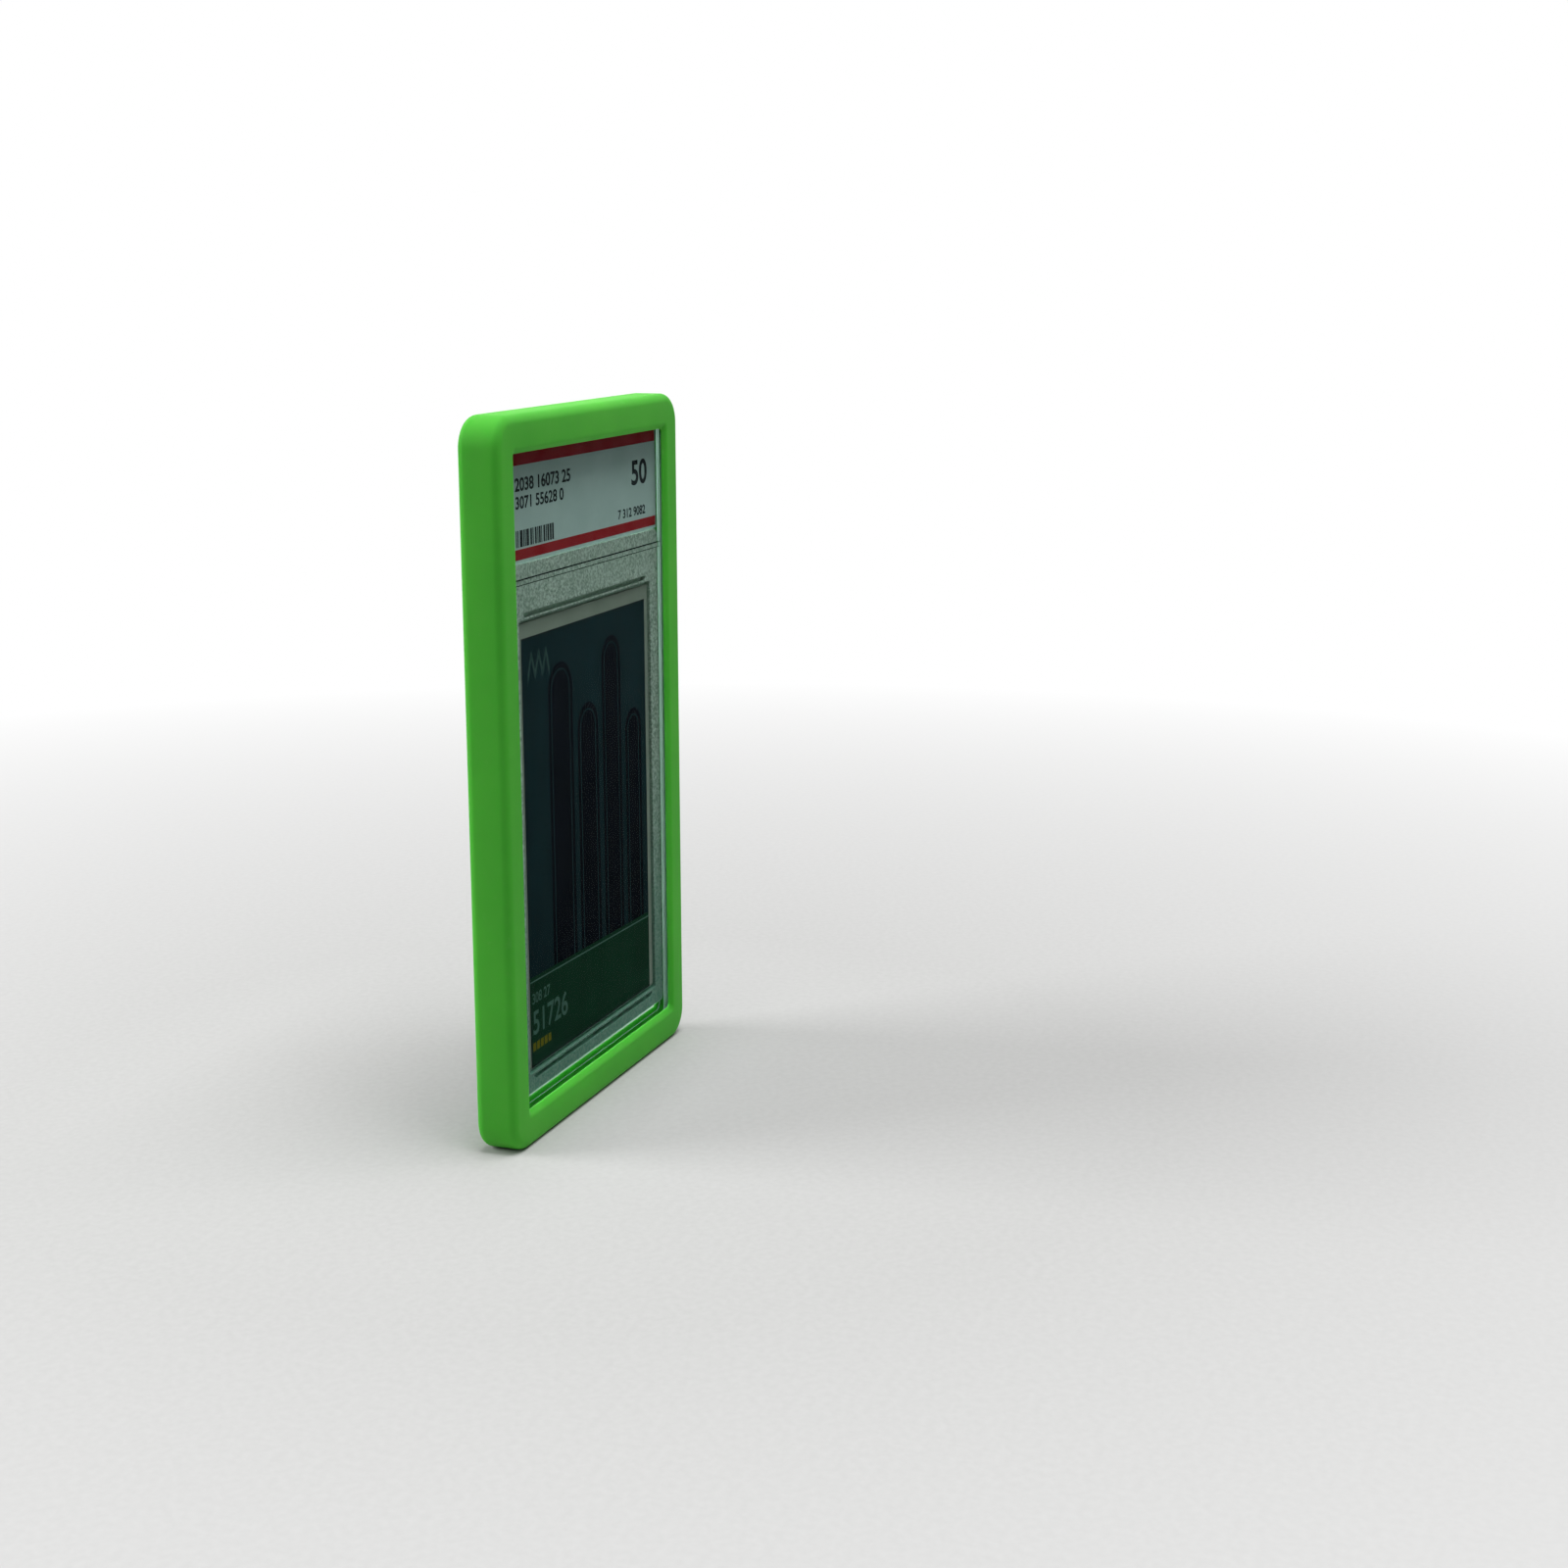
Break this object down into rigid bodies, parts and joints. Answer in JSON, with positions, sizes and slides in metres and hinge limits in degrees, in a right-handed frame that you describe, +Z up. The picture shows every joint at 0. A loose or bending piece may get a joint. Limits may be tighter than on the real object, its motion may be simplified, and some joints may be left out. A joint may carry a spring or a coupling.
{
  "type": "graded card slab protector",
  "caption": "Soft silicone bumper around the edge of a clear graded card slab, with lips over both faces, a printed label at the top and a trading card inside.",
  "frame": {"origin": "middle of the bottom edge that the protector stands on", "axes": "+Z up along the height, +X along the width, -Y towards the front, which shows the card's picture and the label's number side"},
  "size_m": [0.087, 0.0088, 0.1425],
  "materials": {
    "silicone": "matte",
    "clear_shell": "gloss",
    "frosted_frame": "satin",
    "card_stock": "satin",
    "label_paper": "matte"
  },
  "bodies": {
    "bumper": {"bumper": "silicone"},
    "slab": {"slab_front_shell": "clear_shell", "slab_back_shell": "clear_shell", "card_frame": "frosted_frame", "trading_card": "card_stock", "grade_label": "label_paper"}
  },
  "joints": [
    {"name": "slab_push_out", "type": "slide", "parent": "bumper", "child": "slab", "axis": [0, -1, 0], "range_m": [0, 0.012], "deforming": ["bumper"]}
  ]
}
